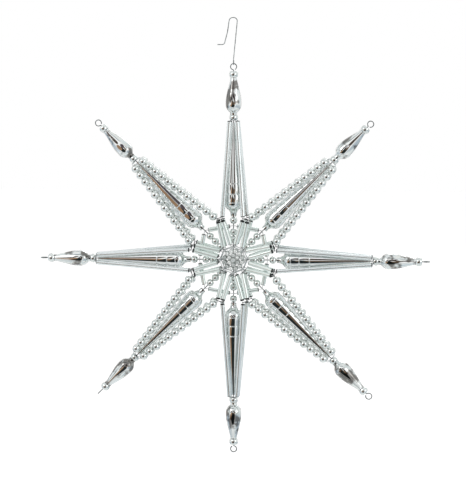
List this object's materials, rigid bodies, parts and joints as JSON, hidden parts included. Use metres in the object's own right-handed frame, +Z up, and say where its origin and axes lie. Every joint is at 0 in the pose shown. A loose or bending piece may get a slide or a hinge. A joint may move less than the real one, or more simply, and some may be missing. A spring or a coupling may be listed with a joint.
{
  "type": "hanging christmas star",
  "caption": "Hanging Christmas star of silvered glass: blown spindles and drops on wire rays, flanked by tubes or bead strands, with a beaded hub and a wire hook.",
  "frame": {"origin": "inside of the hook's crown, on the bearing face that hangs on a branch or a line", "axes": "+Z up, -Y towards the front of the star, +X to the right as seen from the front"},
  "size_m": [0.29, 0.0197, 0.3236],
  "materials": {
    "blown_glass": "blown glass, silvered inside, mirror bright",
    "glass_tube": "drawn glass tube, silvered inside, cut ends",
    "glass_bead": "blown round beads, silvered inside",
    "bead_wire": "drawn bead wire, bare",
    "hook_wire": "drawn wire, bare"
  },
  "bodies": {
    "hook": {"hanger_hook": "hook_wire"},
    "star": {"spine_wire_e": "bead_wire", "kite_wires_e": "bead_wire", "spine_wire_ne": "bead_wire", "kite_wires_ne": "bead_wire", "spine_wire_n": "bead_wire", "kite_wires_n": "bead_wire", "spine_wire_nw": "bead_wire", "kite_wires_nw": "bead_wire", "spine_wire_w": "bead_wire", "kite_wires_w": "bead_wire", "spine_wire_sw": "bead_wire", "kite_wires_sw": "bead_wire", "spine_wire_s": "bead_wire", "kite_wires_s": "bead_wire", "spine_wire_se": "bead_wire", "kite_wires_se": "bead_wire", "long_tubes_e": "glass_tube", "long_tubes_n": "glass_tube", "long_tubes_w": "glass_tube", "long_tubes_s": "glass_tube", "bead_strands_ne": "glass_bead", "bead_strands_nw": "glass_bead", "bead_strands_sw": "glass_bead", "bead_strands_se": "glass_bead", "short_tubes_front": "glass_tube", "short_tubes_back": "glass_tube", "ring_bars": "glass_tube", "tip_beads": "glass_bead", "collar_beads": "glass_bead", "axis_beads": "glass_bead", "rosette_beads": "glass_bead", "centre_beads": "glass_bead", "corner_ties": "bead_wire", "ring_wire": "bead_wire", "core_ring": "bead_wire", "hub_ring_wires": "bead_wire", "rosette_wires": "bead_wire", "hub_pin": "bead_wire"},
    "drop_e": {"drop_e": "blown_glass"},
    "drop_ne": {"drop_ne": "blown_glass"},
    "drop_n": {"drop_n": "blown_glass"},
    "drop_nw": {"drop_nw": "blown_glass"},
    "drop_w": {"drop_w": "blown_glass"},
    "drop_sw": {"drop_sw": "blown_glass"},
    "drop_s": {"drop_s": "blown_glass"},
    "drop_se": {"drop_se": "blown_glass"},
    "spindle_e": {"spindle_e": "blown_glass"},
    "spindle_ne": {"spindle_ne": "blown_glass"},
    "spindle_n": {"spindle_n": "blown_glass"},
    "spindle_nw": {"spindle_nw": "blown_glass"},
    "spindle_w": {"spindle_w": "blown_glass"},
    "spindle_sw": {"spindle_sw": "blown_glass"},
    "spindle_s": {"spindle_s": "blown_glass"},
    "spindle_se": {"spindle_se": "blown_glass"}
  },
  "joints": [
    {"name": "star_swing", "type": "hinge", "parent": "hook", "child": "star", "pos_m": [0, 0, -0.03405], "axis": [0, 1, 0], "range_deg": [-80, 80]},
    {"name": "drop_spin_e", "type": "hinge", "parent": "star", "child": "drop_e", "pos_m": [0, 0, -0.17788], "axis": [1, 0, 0], "continuous": true},
    {"name": "drop_spin_ne", "type": "hinge", "parent": "star", "child": "drop_ne", "pos_m": [0, 0, -0.17788], "axis": [0.7071, 0, 0.7071], "continuous": true},
    {"name": "drop_spin_n", "type": "hinge", "parent": "star", "child": "drop_n", "pos_m": [0, 0, -0.17788], "axis": [0, 0, 1], "continuous": true},
    {"name": "drop_spin_nw", "type": "hinge", "parent": "star", "child": "drop_nw", "pos_m": [0, 0, -0.17788], "axis": [-0.7071, 0, 0.7071], "continuous": true},
    {"name": "drop_spin_w", "type": "hinge", "parent": "star", "child": "drop_w", "pos_m": [0, 0, -0.17788], "axis": [-1, 0, 0], "continuous": true},
    {"name": "drop_spin_sw", "type": "hinge", "parent": "star", "child": "drop_sw", "pos_m": [0, 0, -0.17788], "axis": [-0.7071, 0, -0.7071], "continuous": true},
    {"name": "drop_spin_s", "type": "hinge", "parent": "star", "child": "drop_s", "pos_m": [0, 0, -0.17788], "axis": [0, 0, -1], "continuous": true},
    {"name": "drop_spin_se", "type": "hinge", "parent": "star", "child": "drop_se", "pos_m": [0, 0, -0.17788], "axis": [0.7071, 0, -0.7071], "continuous": true},
    {"name": "spindle_spin_e", "type": "hinge", "parent": "star", "child": "spindle_e", "pos_m": [0, 0, -0.17788], "axis": [1, 0, 0], "continuous": true},
    {"name": "spindle_spin_ne", "type": "hinge", "parent": "star", "child": "spindle_ne", "pos_m": [0, 0, -0.17788], "axis": [0.7071, 0, 0.7071], "continuous": true},
    {"name": "spindle_spin_n", "type": "hinge", "parent": "star", "child": "spindle_n", "pos_m": [0, 0, -0.17788], "axis": [0, 0, 1], "continuous": true},
    {"name": "spindle_spin_nw", "type": "hinge", "parent": "star", "child": "spindle_nw", "pos_m": [0, 0, -0.17788], "axis": [-0.7071, 0, 0.7071], "continuous": true},
    {"name": "spindle_spin_w", "type": "hinge", "parent": "star", "child": "spindle_w", "pos_m": [0, 0, -0.17788], "axis": [-1, 0, 0], "continuous": true},
    {"name": "spindle_spin_sw", "type": "hinge", "parent": "star", "child": "spindle_sw", "pos_m": [0, 0, -0.17788], "axis": [-0.7071, 0, -0.7071], "continuous": true},
    {"name": "spindle_spin_s", "type": "hinge", "parent": "star", "child": "spindle_s", "pos_m": [0, 0, -0.17788], "axis": [0, 0, -1], "continuous": true},
    {"name": "spindle_spin_se", "type": "hinge", "parent": "star", "child": "spindle_se", "pos_m": [0, 0, -0.17788], "axis": [0.7071, 0, -0.7071], "continuous": true}
  ]
}
